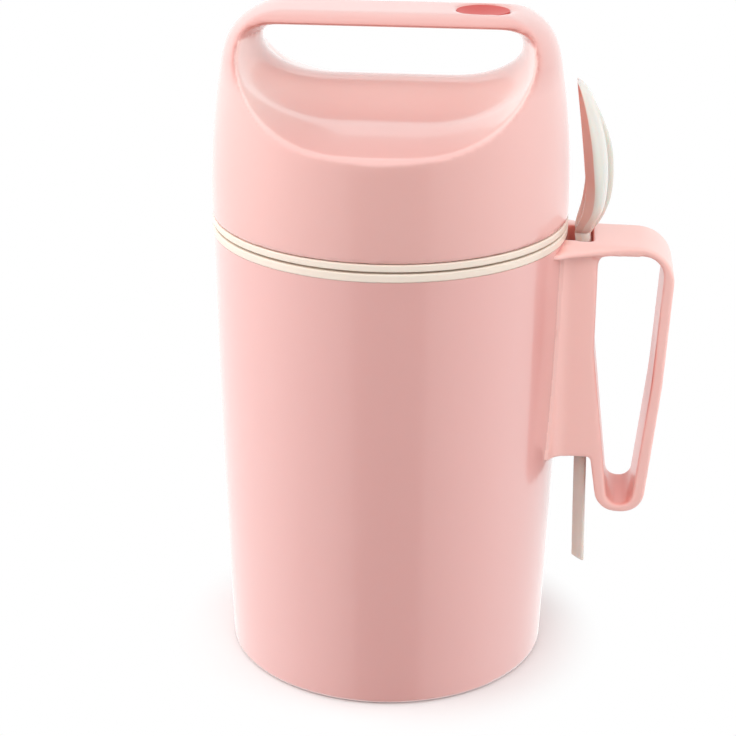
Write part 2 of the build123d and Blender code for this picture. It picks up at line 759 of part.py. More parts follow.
with BuildPart() as side_handle:
    with BuildSketch(Plane.XZ):
        with BuildLine():
            FilletPolyline(
                (casing_inside, casing_height),
                (handle_reach, arm_end_z),
                (handle_waist_reach, handle_waist_z),
                (handle_foot_reach, handle_foot_z),
                (handle_foot_reach - handle_foot_length, handle_foot_z),
                (casing_top_radius + sleeve_foot_out, sleeve_foot_z),
                (casing_inside, sleeve_foot_z),
                radius=[
                    0, handle_corner_rounding, handle_waist_rounding, handle_foot_rounding,
                    handle_foot_rounding, sleeve_foot_rounding, 0,
                ],
                close=True,
            )
        make_face()
        with BuildLine():
            grip_outline()
        make_face(mode=Mode.SUBTRACT)
    extrude(amount=handle_half_width, both=True)
    sides = faces().sort_by(Axis.Y)
    fillet(sides[0].edges() + sides[-1].edges(), handle_edge_rounding)
    with BuildSketch(Plane.XY.offset(sleeve_foot_z)):
        with BuildLine():
            Spline(
                (casing_inside, saddle_half_width + saddle_spread),
                (casing_foot_radius, saddle_half_width),
                (casing_top_radius + saddle_out, handle_half_width),
                tangents=[(cos(radians(saddle_slant)), -sin(radians(saddle_slant))), (1, 0)],
            )
            mirror(about=Plane.XZ)
            Line((casing_top_radius + saddle_out, handle_half_width),
                 (casing_top_radius + saddle_out, -handle_half_width))
            Line((casing_inside, saddle_half_width + saddle_spread),
                 (casing_inside, -saddle_half_width - saddle_spread))
        make_face()
    extrude(amount=sleeve_foot_down)
    with BuildSketch(Plane.XY.offset(arm_foot_z)):
        with BuildLine():
            Spline(
                (casing_inside, flare_half_width),
                (casing_top_radius + flare_neck_out, flare_neck_half_width),
                (casing_top_radius + flare_end_out, flare_end_half_width),
                (handle_reach - handle_corner_rounding, handle_half_width),
                tangents=[(cos(radians(flare_slant)), -sin(radians(flare_slant))), (1, 0)],
            )
            mirror(about=Plane.XZ)
            Line((casing_inside, flare_half_width), (casing_inside, -flare_half_width))
            Line((handle_reach - handle_corner_rounding, handle_half_width),
                 (handle_reach - handle_corner_rounding, -handle_half_width))
        make_face()
    extrude(amount=handle_arm_thickness - handle_arm_fall)
    with BuildSketch(Plane.XZ):
        with BuildLine():
            grip_outline()
        make_face()
    extrude(amount=casing_top_radius, both=True, mode=Mode.SUBTRACT)
    with BuildSketch(Plane(origin=spoon_root, x_dir=lean_out, z_dir=spoon_up)):
        with Locations((stem_depth / 2 + fit_gap, 0)):
            Rectangle(slot_depth, 2 * slot_half_length, align=(Align.MAX, Align.CENTER))
        fillet(vertices().group_by(Axis.X)[-1], slot_rounding)
    extrude(amount=casing_height, both=True, mode=Mode.SUBTRACT)
    for down in handle_screw_downs:
        with Locations(*screw_places(casing_height - down)):
            Cylinder(
                handle_screw_radius + seat_gap, handle_screw_length + fit_gap,
                align=(Align.CENTER, Align.CENTER, Align.MIN), mode=Mode.SUBTRACT,
            )
    with BuildSketch(far_side):
        with BuildLine():
            skin = wall_points(0, casing_height, seat_gap)
            ThreePointArc(*skin)
            Polyline(skin[2], (0, casing_height), (0, 0), skin[0])
        make_face()
    revolve(axis=Axis.Z, mode=Mode.SUBTRACT)

# ---- Handle screws, driven from inside the casing into the sleeve's walls ----------------------
with BuildPart() as handle_screws:
    for down in handle_screw_downs:
        with Locations(*screw_places(casing_height - down)):
            Cylinder(
                handle_screw_radius, handle_screw_length, align=(Align.CENTER, Align.CENTER, Align.MIN)
            )
            Cylinder(
                handle_screw_head_radius, handle_screw_head_height,
                align=(Align.CENTER, Align.CENTER, Align.MAX),
            )
            with Locations((0, 0, -handle_screw_head_height)):
                Box(
                    handle_screw_slot_length, handle_screw_slot_width, 2 * handle_screw_slot_width,
                    mode=Mode.SUBTRACT,
                )
                Box(
                    handle_screw_slot_width, handle_screw_slot_length, 2 * handle_screw_slot_width,
                    mode=Mode.SUBTRACT,
                )

# ---- Spoon -------------------------------------------------------------------------------------
spoon_side = Plane(origin=spoon_root, x_dir=lean_out, z_dir=(0, -1, 0))
spoon_plan = Plane(origin=spoon_root, x_dir=lean_out, z_dir=spoon_up)


def spoon_point(out, rise):
    """Point of the spoon's side plane, from its distance out from the casing and rise above it."""
    across = (out - spoon_out) * cos(lean) + rise * sin(lean)
    along = rise * cos(lean) - (out - spoon_out) * sin(lean)
    return (across, along)


def bowl_body(wall):
    """Egg shape of the bowl, inside a wall of that thickness."""
    unit = Sphere(1, mode=Mode.PRIVATE)
    sizes = (bowl_depth - wall, bowl_half_width - wall, bowl_height / 2 - wall)
    body = scale(unit, by=sizes, mode=Mode.PRIVATE)
    middle = (casing_top_radius + bowl_out, 0, casing_height + bowl_rise + bowl_height / 2)
    return Location(middle, (0, -bowl_tilt, 0)) * body


with BuildPart() as spoon:
    with BuildSketch(spoon_plan.offset(-neck_root_drop)):
        RectangleRounded(stem_depth, stem_width, stem_edge_rounding)
    with BuildSketch(spoon_plan.offset(neck_foot_rise)):
        with Locations((neck_foot_out - spoon_out, 0)):
            RectangleRounded(neck_foot_depth, stem_width, stem_edge_rounding)
    loft()
    add(bowl_body(0))
    with BuildSketch(spoon_plan.offset(neck_foot_rise)):
        with Locations((neck_foot_out - spoon_out, 0)):
            RectangleRounded(neck_foot_depth, stem_width, stem_edge_rounding)
    with BuildSketch(spoon_plan.offset(neck_top_rise)):
        with Locations((neck_top_out - spoon_out, 0)):
            RectangleRounded(neck_top_depth, neck_top_width, neck_top_rounding)
    loft()
    with BuildSketch(spoon_side):
        with BuildLine():
            Spline(*[spoon_point(*p) for p in spine_crest])
            Line(spoon_point(*spine_crest[-1]), spoon_point(*spine_crest[0]))
        make_face()
    extrude(amount=spine_width / 2, both=True)
    add(bowl_body(bowl_wall), mode=Mode.SUBTRACT)
    with BuildSketch(spoon_side):
        with BuildLine():
            Spline(
                spoon_point(rim_root_out, neck_foot_rise),
                spoon_point(rim_bow_out, rim_bow_rise),
                spoon_point(rim_waist_out, rim_waist_rise),
                spoon_point(rim_tip_out, rim_tip_rise),
                tangents=[
                    (sin(radians(rim_root_slant)), cos(radians(rim_root_slant))),
                    (-sin(radians(rim_tip_slant)), cos(radians(rim_tip_slant))),
                ],
            )
            Polyline(
                spoon_point(rim_tip_out, rim_tip_rise),
                spoon_point(-casing_top_radius, rim_tip_rise),
                spoon_point(-casing_top_radius, neck_foot_rise),
                spoon_point(rim_root_out, neck_foot_rise),
            )
        make_face()
    extrude(amount=bowl_half_width * 2, both=True, mode=Mode.SUBTRACT)
    with BuildSketch(spoon_plan.offset(-neck_root_drop)):
        RectangleRounded(stem_depth, stem_width, stem_edge_rounding)
    extrude(amount=neck_root_drop - stem_length)
    with BuildSketch(spoon_side):
        with BuildLine():
            Polyline(
                (-stem_depth / 2, -stem_length), (-stem_depth / 2, -stem_length + stem_cut_rise),
                (stem_depth / 2, -stem_length), close=True,
            )
        make_face()
    extrude(amount=stem_width, both=True, mode=Mode.SUBTRACT)
    with BuildSketch(spoon_plan.offset(-stem_groove_end)):
        with Locations((-stem_depth / 2, 0)):
            Rectangle(2 * stem_groove_depth, stem_groove_width)
    extrude(amount=-stem_length, mode=Mode.SUBTRACT)

# ---- Export ------------------------------------------------------------------------------------
outer_casing.part.label = "outer_casing"
export_step(outer_casing.part, "parts/outer_casing.step")
base_plate.part.label = "base_plate"
export_step(base_plate.part, "parts/base_plate.step")
base_seal.part.label = "base_seal"
export_step(base_seal.part, "parts/base_seal.step")
tip_cushion.part.label = "tip_cushion"
export_step(tip_cushion.part, "parts/tip_cushion.step")
insert_inner.part.label = "insert_inner"
export_step(insert_inner.part, "parts/insert_inner.step")
insert_outer.part.label = "insert_outer"
export_step(insert_outer.part, "parts/insert_outer.step")
insert_pads.part.label = "insert_pads"
export_step(insert_pads.part, "parts/insert_pads.step")
insert_collar.part.label = "insert_collar"
export_step(insert_collar.part, "parts/insert_collar.step")
mouth_gasket.part.label = "mouth_gasket"
export_step(mouth_gasket.part, "parts/mouth_gasket.step")
neck_ring.part.label = "neck_ring"
export_step(neck_ring.part, "parts/neck_ring.step")
mouth_funnel.part.label = "mouth_funnel"
export_step(mouth_funnel.part, "parts/mouth_funnel.step")
lid_seal.part.label = "lid_seal"
export_step(lid_seal.part, "parts/lid_seal.step")
lid_liner.part.label = "lid_liner"
export_step(lid_liner.part, "parts/lid_liner.step")
lid_plug.part.label = "lid_plug"
export_step(lid_plug.part, "parts/lid_plug.step")
plug_foam.part.label = "plug_foam"
export_step(plug_foam.part, "parts/plug_foam.step")
lid_foam.part.label = "lid_foam"
export_step(lid_foam.part, "parts/lid_foam.step")
lid_shell.part.label = "lid_shell"
export_step(lid_shell.part, "parts/lid_shell.step")
handle_inlay.part.label = "handle_inlay"
export_step(handle_inlay.part, "parts/handle_inlay.step")
side_handle.part.label = "side_handle"
export_step(side_handle.part, "parts/side_handle.step")
handle_screws.part.label = "handle_screws"
export_step(handle_screws.part, "parts/handle_screws.step")
spoon.part.label = "spoon"
export_step(spoon.part, "parts/spoon.step")
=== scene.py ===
from math import cos, hypot, pi, radians, sin, sqrt

import bmesh
import bpy
from mathutils import Matrix, Vector


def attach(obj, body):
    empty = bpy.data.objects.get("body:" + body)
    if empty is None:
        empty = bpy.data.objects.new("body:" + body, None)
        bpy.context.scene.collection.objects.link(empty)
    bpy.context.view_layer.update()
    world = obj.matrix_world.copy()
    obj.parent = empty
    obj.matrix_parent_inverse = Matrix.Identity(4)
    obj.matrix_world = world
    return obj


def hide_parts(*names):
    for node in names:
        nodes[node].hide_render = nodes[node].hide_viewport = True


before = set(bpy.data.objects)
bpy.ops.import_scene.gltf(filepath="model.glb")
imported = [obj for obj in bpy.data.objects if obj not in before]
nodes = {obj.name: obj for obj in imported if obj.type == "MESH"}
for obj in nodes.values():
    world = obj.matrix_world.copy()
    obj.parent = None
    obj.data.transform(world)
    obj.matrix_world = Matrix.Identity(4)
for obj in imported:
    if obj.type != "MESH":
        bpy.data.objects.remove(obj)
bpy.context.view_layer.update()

MM = 0.001                               # pieces are measured in mm, and the studio in metres


def clamp(value, low=0.0, high=1.0):
    """The value, held between low and high."""
    return min(max(value, low), high)


# ---- Materials: helpers -----------------------------------------------------------------------
COLOUR_A, COLOUR_B, COLOUR_OUT = 6, 7, 2  # a colour Mix node's two colours and its result


def srgb(code):
    """Linear colour of an sRGB hex value such as "#E8B4AE"."""
    parts = [int(code[k:k + 2], 16) / 255 for k in (1, 3, 5)]
    return [c / 12.92 if c <= 0.04045 else ((c + 0.055) / 1.055) ** 2.4 for c in parts] + [1.0]


def scale_for(width):
    """Scale of a texture on Object coordinates whose features are this many mm wide."""
    return 1 / (width * MM)


def node(tree, kind, inputs=(), **settings):
    """Adds a node: settings are its properties, inputs its sockets' values or links into them."""
    made = tree.nodes.new(kind)
    for name, value in settings.items():
        setattr(made, name, value)
    for socket, value in dict(inputs).items():
        if isinstance(value, bpy.types.NodeSocket):
            tree.links.new(value, made.inputs[socket])
        else:
            made.inputs[socket].default_value = value
    return made


def new_material(name):
    """An empty node material and its tree."""
    material = bpy.data.materials.new(name)
    material.use_nodes = True
    material.node_tree.nodes.clear()
    return material, material.node_tree


# ---- Materials: moulded plastics and rubbers --------------------------------------------------
# Widths in mm of the pigment's drift, the polish's patches and the wall's waves. They are written
# as fractions, here and further down, so that the textures' scales are whole numbers.
DRIFT_WIDTH, POLISH_WIDTH, WAVE_WIDTH = 1000 / 9, 50 / 3, 200 / 9
WAVE_HEIGHT, WAVE_STRENGTH = 0.02, 0.35  # mm, and how much of it shows
POLISH_LOW, POLISH_HIGH = 0.85, 1.2      # the roughness runs between these shares of its value
PLASTIC_IOR = 1.5
SCATTER = (1.0, 0.45, 0.35)              # red travels furthest inside the plastic
SKIN_ROUGHNESS = 0.08                    # the polished outer skin mirrors crisply


def moulded_plastic(name, colour, deep, roughness, shine=0.5, coat=0.0, milky=0.12, depth=1.2,
                    painted_light_and_shade=None, pale=None):
    """Injection-moulded plastic: one pigmented colour that drifts a little towards a deeper tone,
    a gloss that varies with the mould's polish, and the faint long waves of a moulded wall. Light
    reaches the depth, in mm, inside it. The last two colours are painted light and shade, which
    show where the mesh's own attributes of the same names are 1."""
    material, tree = new_material(name)
    place = node(tree, "ShaderNodeTexCoord").outputs["Object"]
    drift = node(tree, "ShaderNodeTexNoise",
                 {"Vector": place, "Scale": scale_for(DRIFT_WIDTH), "Detail": 2.0})
    tone = node(
        tree, "ShaderNodeMix",
        {"Factor": drift.outputs["Fac"], COLOUR_A: srgb(colour), COLOUR_B: srgb(deep)},
        data_type="RGBA",
    ).outputs[COLOUR_OUT]
    # Painted light and shade over the plastic's colour, where the mesh's attributes call for it.
    for attribute, code in (("painted_light_and_shade", painted_light_and_shade), ("pale", pale)):
        if code:
            share = node(tree, "ShaderNodeAttribute", attribute_name=attribute).outputs["Fac"]
            tone = node(
                tree, "ShaderNodeMix", {"Factor": share, COLOUR_A: tone, COLOUR_B: srgb(code)},
                data_type="RGBA",
            ).outputs[COLOUR_OUT]
    polish = node(tree, "ShaderNodeTexNoise",
                  {"Vector": place, "Scale": scale_for(POLISH_WIDTH), "Detail": 3.0})
    gloss = node(
        tree, "ShaderNodeMapRange",
        {"Value": polish.outputs["Fac"],
         "To Min": roughness * POLISH_LOW, "To Max": roughness * POLISH_HIGH},
    )
    wall = node(tree, "ShaderNodeTexNoise",
                {"Vector": place, "Scale": scale_for(WAVE_WIDTH), "Detail": 1.0})
    bump = node(
        tree, "ShaderNodeBump",
        {"Height": wall.outputs["Fac"], "Strength": WAVE_STRENGTH, "Distance": WAVE_HEIGHT * MM},
    )
    shader = node(tree, "ShaderNodeBsdfPrincipled", {
        "Base Color": tone, "Roughness": gloss.outputs["Result"],
        "Normal": bump.outputs["Normal"], "IOR": PLASTIC_IOR, "Specular IOR Level": shine,
        "Subsurface Weight": milky, "Subsurface Radius": SCATTER,
        "Subsurface Scale": depth * MM, "Coat Weight": coat, "Coat Roughness": SKIN_ROUGHNESS,
    })
    node(tree, "ShaderNodeOutputMaterial", {"Surface": shader.outputs["BSDF"]})
    return material


# Moulded polypropylene from a polished mould: an even pale pink under a clear, crisp gloss.
casing_plastic = moulded_plastic(
    "moulded_polypropylene_pink", "#EAB1AB", "#E7ACA7", roughness=0.32, shine=1.0, coat=0.9,
)
# The lid's pink: a deeper pink is painted shade on the arch's bar, and a paler one is painted
# light round the lower half of the window.
lid_plastic = moulded_plastic(
    "moulded_polypropylene_pink_lid", "#EBB4AD", "#E8AFA8", roughness=0.38, shine=1.0, coat=0.9,
    painted_light_and_shade="#CC7F75", pale="#FFE0D9",
)
# The handle's gloss is softer. Its pink is set paler than the casing's, as painted light, and a
# painted coral glow stands in for light bounced where the plastic faces itself.
handle_plastic = moulded_plastic(
    "moulded_polypropylene_pink_handle", "#FFCCC4", "#FDC7BF", roughness=0.3, coat=0.1,
    painted_light_and_shade="#E0705F",
)
# Moulded polypropylene from a satin mould, in cream and in white: its highlights are broad.
band_plastic = moulded_plastic(
    "moulded_polypropylene_cream", "#F3E4D6", "#EFDFD0", roughness=0.32,
)
mouth_plastic = moulded_plastic(
    "moulded_polypropylene_white", "#F3F1EC", "#EEEBE5", roughness=0.28,
)
# Moulded ABS in coral: a dense colour under a dull sheen, so the disc reads as a spot of colour.
inlay_plastic = moulded_plastic(
    "moulded_abs_coral", "#CA4A45", "#C54540", roughness=0.45, shine=0.3,
)
# Natural polypropylene is milky and lets light through: the back is off-white. The jar's pink is
# painted on the stem, the rim and the hollow, as light bounced from the jar beside them.
spoon_plastic = moulded_plastic(
    "moulded_polypropylene_natural", "#DEDDD5", "#D8D7CE", roughness=0.25, milky=0.6, depth=4.0,
    painted_light_and_shade="#D29A8E",
)
# Moulded silicone: pale grey and nearly matt, so the seals stay quiet beside the glossy plastic.
seal_silicone = moulded_plastic("moulded_silicone_grey", "#C9C6C1", "#BDB9B3", roughness=0.55)
# Carbon-filled rubber: near black and matt, with the fine bloom of a moulded block.
black_rubber = moulded_plastic("moulded_rubber_black", "#2B2B2C", "#232324", roughness=0.7)


# ---- Materials: glass, felt, foam and steel ---------------------------------------------------
RIPPLE_WIDTH, RIPPLE_HEIGHT = 100 / 3, 0.05
FIBRE_WIDTH, NAP_HEIGHT = 5 / 9, 0.2
CELL_WIDTH, PIT_DEPTH = 5 / 7, 0.3
RING_WIDTH, RING_DRAW = 0.25, 0.08       # the pattern is drawn out across the screw's axis


def silvered_glass():
    """A mirror coat behind clear blown glass: bright metal with the soft ripples of the glass."""
    material, tree = new_material("silvered_borosilicate_glass")
    place = node(tree, "ShaderNodeTexCoord").outputs["Object"]
    ripple = node(tree, "ShaderNodeTexNoise",
                  {"Vector": place, "Scale": scale_for(RIPPLE_WIDTH), "Detail": 2.0})
    wave = node(tree, "ShaderNodeBump",
                {"Height": ripple.outputs["Fac"], "Strength": 0.3, "Distance": RIPPLE_HEIGHT * MM})
    shader = node(tree, "ShaderNodeBsdfPrincipled", {
        "Base Color": srgb("#D9DADC"), "Roughness": 0.06, "Metallic": 1.0, "Coat Weight": 1.0,
        "Normal": wave.outputs["Normal"],
    })
    node(tree, "ShaderNodeOutputMaterial", {"Surface": shader.outputs["BSDF"]})
    return material


def needled_felt():
    """Needled wool felt: matt grey with a fibre fuzz that lifts the edges. Wool's fibres are some
    0.03 mm wide, and the pattern is drawn about 0.56 mm wide, so that it shows."""
    material, tree = new_material("needled_felt_grey")
    place = node(tree, "ShaderNodeTexCoord").outputs["Object"]
    fibre = node(tree, "ShaderNodeTexNoise", {
        "Vector": place, "Scale": scale_for(FIBRE_WIDTH), "Detail": 4.0, "Roughness": 0.7,
    })
    tone = node(
        tree, "ShaderNodeMix",
        {"Factor": fibre.outputs["Fac"], COLOUR_A: srgb("#8F8B86"), COLOUR_B: srgb("#A9A59F")},
        data_type="RGBA",
    )
    nap = node(tree, "ShaderNodeBump",
               {"Height": fibre.outputs["Fac"], "Strength": 0.6, "Distance": NAP_HEIGHT * MM})
    shader = node(tree, "ShaderNodeBsdfPrincipled", {
        "Base Color": tone.outputs[COLOUR_OUT], "Roughness": 0.95, "Sheen Weight": 0.5,
        "Normal": nap.outputs["Normal"],
    })
    node(tree, "ShaderNodeOutputMaterial", {"Surface": shader.outputs["BSDF"]})
    return material


def cut_foam():
    """Cut polyurethane foam: pale and matt, with open cells. The cells are drawn about 0.7 mm
    wide, a little coarser than they are, so that they show."""
    material, tree = new_material("cut_polyurethane_foam")
    place = node(tree, "ShaderNodeTexCoord").outputs["Object"]
    cells = node(tree, "ShaderNodeTexVoronoi", {"Vector": place, "Scale": scale_for(CELL_WIDTH)})
    tone = node(
        tree, "ShaderNodeMix",
        {"Factor": cells.outputs["Distance"], COLOUR_A: srgb("#CFC5A8"), COLOUR_B: srgb("#EFE8D2")},
        data_type="RGBA",
    )
    pits = node(tree, "ShaderNodeBump",
                {"Height": cells.outputs["Distance"], "Strength": 0.7, "Distance": PIT_DEPTH * MM})
    shader = node(tree, "ShaderNodeBsdfPrincipled", {
        "Base Color": tone.outputs[COLOUR_OUT], "Roughness": 0.9, "Normal": pits.outputs["Normal"],
    })
    node(tree, "ShaderNodeOutputMaterial", {"Surface": shader.outputs["BSDF"]})
    return material


def turned_steel():
    """Turned stainless steel: grey metal with the lathe's rings across each screw's axis, which
    lies along X. The tool's marks are finer, and are drawn 0.25 mm wide, so that they show."""
    material, tree = new_material("turned_stainless_steel")
    place = node(tree, "ShaderNodeTexCoord").outputs["Object"]
    drawn = node(tree, "ShaderNodeMapping",
                 {"Vector": place, "Scale": (1.0, RING_DRAW, RING_DRAW)})
    rings = node(tree, "ShaderNodeTexNoise", {
        "Vector": drawn.outputs["Vector"], "Scale": scale_for(RING_WIDTH), "Detail": 2.0,
    })
    gloss = node(tree, "ShaderNodeMapRange",
                 {"Value": rings.outputs["Fac"], "To Min": 0.22, "To Max": 0.4})
    shader = node(tree, "ShaderNodeBsdfPrincipled", {
        "Base Color": srgb("#B9BABC"), "Roughness": gloss.outputs["Result"], "Metallic": 1.0,
    })
    node(tree, "ShaderNodeOutputMaterial", {"Surface": shader.outputs["BSDF"]})
    return material


silver, felt, foam, steel = silvered_glass(), needled_felt(), cut_foam(), turned_steel()
for name, finish in {
    "outer_casing": casing_plastic, "base_plate": casing_plastic, "lid_shell": lid_plastic,
    "side_handle": handle_plastic, "handle_inlay": inlay_plastic, "neck_ring": band_plastic,
    "lid_liner": band_plastic, "mouth_funnel": mouth_plastic, "lid_plug": mouth_plastic,
    "spoon": spoon_plastic, "lid_seal": seal_silicone, "mouth_gasket": seal_silicone,
    "base_seal": seal_silicone, "tip_cushion": black_rubber, "insert_inner": silver,
    "insert_outer": silver, "insert_pads": felt, "insert_collar": foam, "plug_foam": foam,
    "lid_foam": foam, "handle_screws": steel,
}.items():
    nodes[name].material_slots[0].material = finish

# ---- Pieces: helpers --------------------------------------------------------------------------
WELD = 0.01                              # corners of a solid's mesh this near are merged, mm
RELAX = 0.5                              # how far each round of relaxing moves a point


def pick(item):
    """Makes one object the only selected one, and the active one."""
    bpy.ops.object.select_all(action="DESELECT")
    item.select_set(True)
    bpy.context.view_layer.objects.active = item


def finish_with(item, kind, **settings):
    """Adds a modifier and applies it."""
    pick(item)
    added = item.modifiers.new(kind.lower(), kind)
    for name, value in settings.items():
        setattr(added, name, value)
    bpy.ops.object.modifier_apply(modifier=added.name)


def new_piece(name, mesh, finish):
    """An object at the origin with this mesh and this material alone."""
    item = bpy.data.objects.new(name, mesh)
    bpy.context.scene.collection.objects.link(item)
    mesh.materials.clear()
    mesh.materials.append(finish)
    return item


def softened_copy(source, name, finish, cell, rounds):
    """A copy of a solid's mesh on an even grid, whose cell is in mm, relaxed until its edges are
    as round as a mould's."""
    piece = new_piece(name, nodes[source].data.copy(), finish)
    pick(piece)
    bpy.ops.object.mode_set(mode="EDIT")
    bpy.ops.mesh.select_all(action="SELECT")
    bpy.ops.mesh.remove_doubles(threshold=WELD * MM)
    bpy.ops.object.mode_set(mode="OBJECT")
    finish_with(piece, "REMESH", mode="VOXEL", voxel_size=cell * MM)
    finish_with(piece, "SMOOTH", factor=RELAX, iterations=rounds)
    pick(piece)
    bpy.ops.object.shade_smooth()
    return piece


def point_values(piece, *names):
    """New values on the points of a piece's mesh, one set per name, which its material reads."""
    for name in names:
        piece.data.attributes.new(name, "FLOAT", "POINT")
    return [piece.data.attributes[name].data for name in names]


# ---- Side handle ------------------------------------------------------------------------------
HANDLE_CELL, HANDLE_ROUNDS = 0.6, 6
FLARE_FOOT, FLARE_SIDE = 136.0, 9.0      # above this height, outside this width the flare is soft
FLARE_ROOM, FLARE_END = 66.0, 76.0       # fully soft up to the first distance, not at the second
FLARE_RISE, FLARE_ROUNDS = 3.0, 45       # the height over which it softens, and the rounds of it
CASING_TOP, CASING_FOOT = 57.7, 53.6     # the casing's radii
CASING_BOW, CASING_HEIGHT = 0.65, 148.3  # how far its wall bulges, and its height
HANDLE_ROOT, HANDLE_SINK = 0.9, 0.5      # skin next to the casing, and how far it is pressed in
WINDOW_MIDDLE = Vector((77.0, 0.0, 105.0))
WINDOW_START, WINDOW_TOP = 66.0, 146.0   # faces further out and lower than this may look at it
FACING_FROM, FACING_GAIN = 0.3, 1.5      # how squarely a face has to look at the window's middle
WINDOW_PAINTED_GLOW, WINDOW_LEAN = 0.5, 0.3      # painted glow of a level face, and what one facing the jar adds
# The spoon's slot: its half width, its reach out from the axis and its top in mm, and the painted
# coral glow inside it
SLOT_SIDE, SLOT_START, SLOT_END, SLOT_TOP, SLOT_PAINTED_GLOW = 8.6, 57.3, 66.6, 147.9, 0.85

side_handle = softened_copy(
    "side_handle", "handle_moulding", handle_plastic, HANDLE_CELL, HANDLE_ROUNDS,
)
flare = side_handle.vertex_groups.new(name="flare")
for vertex in side_handle.data.vertices:
    x, y, z = (c / MM for c in vertex.co)
    share = clamp((FLARE_END - x) / (FLARE_END - FLARE_ROOM))
    if z > FLARE_FOOT and abs(y) > FLARE_SIDE and share > 0:
        weight = share * min((z - FLARE_FOOT) / FLARE_RISE, 1) * min(abs(y) - FLARE_SIDE, 1)
        flare.add([vertex.index], weight, "REPLACE")
finish_with(side_handle, "SMOOTH", factor=RELAX, iterations=FLARE_ROUNDS, vertex_group="flare")

# The skin next to the casing is pressed into it, so that no edge stands off the wall.
for vertex in side_handle.data.vertices:
    x, y, z = (c / MM for c in vertex.co)
    share = z / CASING_HEIGHT
    wall = CASING_FOOT + (CASING_TOP - CASING_FOOT) * share + 4 * CASING_BOW * share * (1 - share)
    out = hypot(x, y)
    if out < wall + HANDLE_ROOT:
        sunk = (wall - HANDLE_SINK * (wall + HANDLE_ROOT - out) / HANDLE_ROOT) / out
        vertex.co.x, vertex.co.y = x * sunk * MM, y * sunk * MM

# Painted light: a deeper coral where the plastic faces itself, in the spoon's slot and round the
# grip's window, stands in for light bounced between its walls.
(painted_shading,) = point_values(side_handle, "painted_light_and_shade")
for vertex in side_handle.data.vertices:
    x, y, z = vertex.co / MM
    across = WINDOW_MIDDLE - Vector((x, 0.0, z))
    by_window = x > WINDOW_START and z < WINDOW_TOP
    facing = vertex.normal.dot(across.normalized()) if by_window else 0
    deep = min(max(facing - FACING_FROM, 0) * FACING_GAIN, 1)
    shade = deep * (WINDOW_PAINTED_GLOW - WINDOW_LEAN * vertex.normal.x)
    in_slot = abs(y) < SLOT_SIDE and SLOT_START < x < SLOT_END and z < SLOT_TOP
    painted_shading[vertex.index].value = SLOT_PAINTED_GLOW if in_slot else shade
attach(side_handle, "jar")
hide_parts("side_handle")

# ---- Lid: the scoops, the pockets and the arch's edges run into each other softly -------------
LID_CELL, LID_ROUNDS = 0.95, 2
ARCH_FOOT, ARCH_FULL, ARCH_ROUNDS = 160.0, 172.0, 12     # softening sets in from foot to full
BAR_FOOT, BAR_FULL = 199.0, 206.0        # the bar's painted shade sets in from foot to full
BAR_PAINTED_SHADE, BAR_TOP_SHARE = 0.95, 0.45     # its painted shade in front and behind, and its top's share of it
BAR_GAIN, BAR_FROM = 1.5, 0.3            # how squarely a face has to look forward or back
RIM_MIDDLE, RIM_SPREAD = Vector((0.0, 0.0, 207.0)), 0.4  # the long line that the rim looks at
# Painted light round the window: its heights and reach in mm, its strength and its gain
RIM_FOOT, RIM_FULL, RIM_TOP, RIM_END = 187.0, 197.0, 213.0, 48.0
RIM_PAINTED_LIGHT, RIM_GAIN, RIM_FROM = 0.75, 1.6, 0.1

lid = softened_copy("lid_shell", "lid_moulding", lid_plastic, LID_CELL, LID_ROUNDS)
arch = lid.vertex_groups.new(name="arch")
for vertex in lid.data.vertices:
    share = clamp((vertex.co.z / MM - ARCH_FOOT) / (ARCH_FULL - ARCH_FOOT))
    if share > 0:
        arch.add([vertex.index], share, "REPLACE")
finish_with(lid, "SMOOTH", factor=RELAX, iterations=ARCH_ROUNDS, vertex_group="arch")

# Painted shade: the pink is deeper on the arch's bar, most on its faces in front and behind.
# Painted light: it is paler round the lower half of the window, for light through the thin rim.
painted_shading, painted_lights = point_values(lid, "painted_light_and_shade", "pale")
for vertex in lid.data.vertices:
    x, y, z = (c / MM for c in vertex.co)
    across = RIM_MIDDLE - Vector((x * RIM_SPREAD, 0.0, z))
    by_rim = z < RIM_TOP and abs(x) < RIM_END
    facing = vertex.normal.dot(across.normalized()) if by_rim else 0
    rise = clamp((z - RIM_FOOT) / (RIM_FULL - RIM_FOOT))
    painted_lights[vertex.index].value = RIM_PAINTED_LIGHT * rise * clamp(facing * RIM_GAIN - RIM_FROM)
    share = clamp((z - BAR_FOOT) / (BAR_FULL - BAR_FOOT))
    squareness = clamp(abs(vertex.normal.y) * BAR_GAIN - BAR_FROM, low=BAR_TOP_SHARE)
    painted_shading[vertex.index].value = BAR_PAINTED_SHADE * share * squareness
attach(lid, "lid")
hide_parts("lid_shell")

# ---- Spoon: sections along its length, each a U that opens towards the lid --------------------
SPOON_LEAN = radians(1.15)
SPOON_ROOT = (63.7, 148.3)               # X and Z of the stem's middle at the casing's top edge
STEM_DEPTH, STEM_SIDE, STEM_GROOVE, STEM_FOOT, STEM_CUT = 4.2, 6.5, 3.5, -116.0, 2.4
EGG_MIDDLE, EGG_TILT = (-3.18, 26.0), radians(6.85)      # the bowl's back is half an egg
EGG_DEPTH, EGG_SIDE, EGG_LENGTH, EGG_FIT = 9.5, 17.0, 25.0, 0.975
SPOON_WALL, SPOON_TIP, LEAST = 1.8, 50.3, 0.25           # LEAST keeps the narrowest section open
BOWL_START, BOWL_RUN, BOWL_FULL = -5, 16, 0.99           # the stem widens into the bowl here
